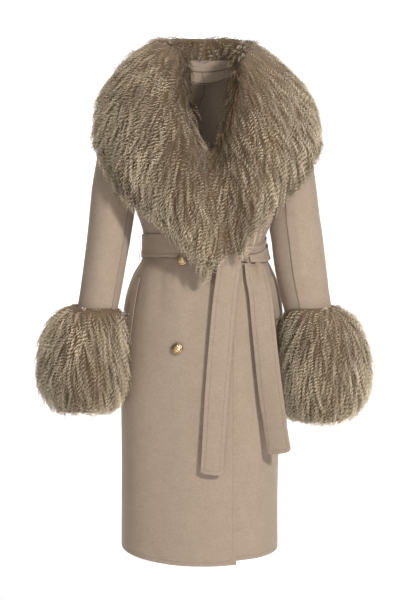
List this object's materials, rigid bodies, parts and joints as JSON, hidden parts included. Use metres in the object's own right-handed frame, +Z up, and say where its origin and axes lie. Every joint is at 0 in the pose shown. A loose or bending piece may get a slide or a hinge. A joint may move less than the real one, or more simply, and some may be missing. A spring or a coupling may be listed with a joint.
{
  "type": "belted fur-trimmed coat",
  "caption": "Hollow belted wool coat in its worn shape, with a wide curly lamb-fur shawl collar, deep fur cuffs, hanging belt ends and domed buttons",
  "frame": {"origin": "the middle of the neck, level with the top of the shoulder seams, where the wearer carries the coat", "axes": "+Z up, -Y the coat's front, +X the wearer's left"},
  "size_m": [0.743, 0.3615, 1.1599],
  "materials": {
    "wool": "soft brushed double-faced wool",
    "fur": "curly long-haired lamb fur",
    "thread": "twisted sewing thread",
    "gilt": "polished gilt metal"
  },
  "bodies": {
    "root": {"front_right": "wool", "front_left": "wool", "back": "wool", "sleeve_right_top": "wool", "sleeve_right_under": "wool", "sleeve_left_top": "wool", "sleeve_left_under": "wool", "collar_stand": "wool", "collar_stand_upper": "wool", "belt": "wool", "belt_turn": "wool", "belt_knot": "wool", "belt_end_front": "wool", "belt_end_side": "wool", "pocket_welt_right": "wool", "pocket_welt_left": "wool", "collar_fur_right": "fur", "collar_fur_left": "fur", "cuff_fur_right": "fur", "cuff_fur_left": "fur", "belt_loop_right": "thread", "belt_loop_left": "thread", "button_upper": "gilt", "button_lower": "gilt", "hanging_chain": "gilt"}
  },
  "joints": []
}
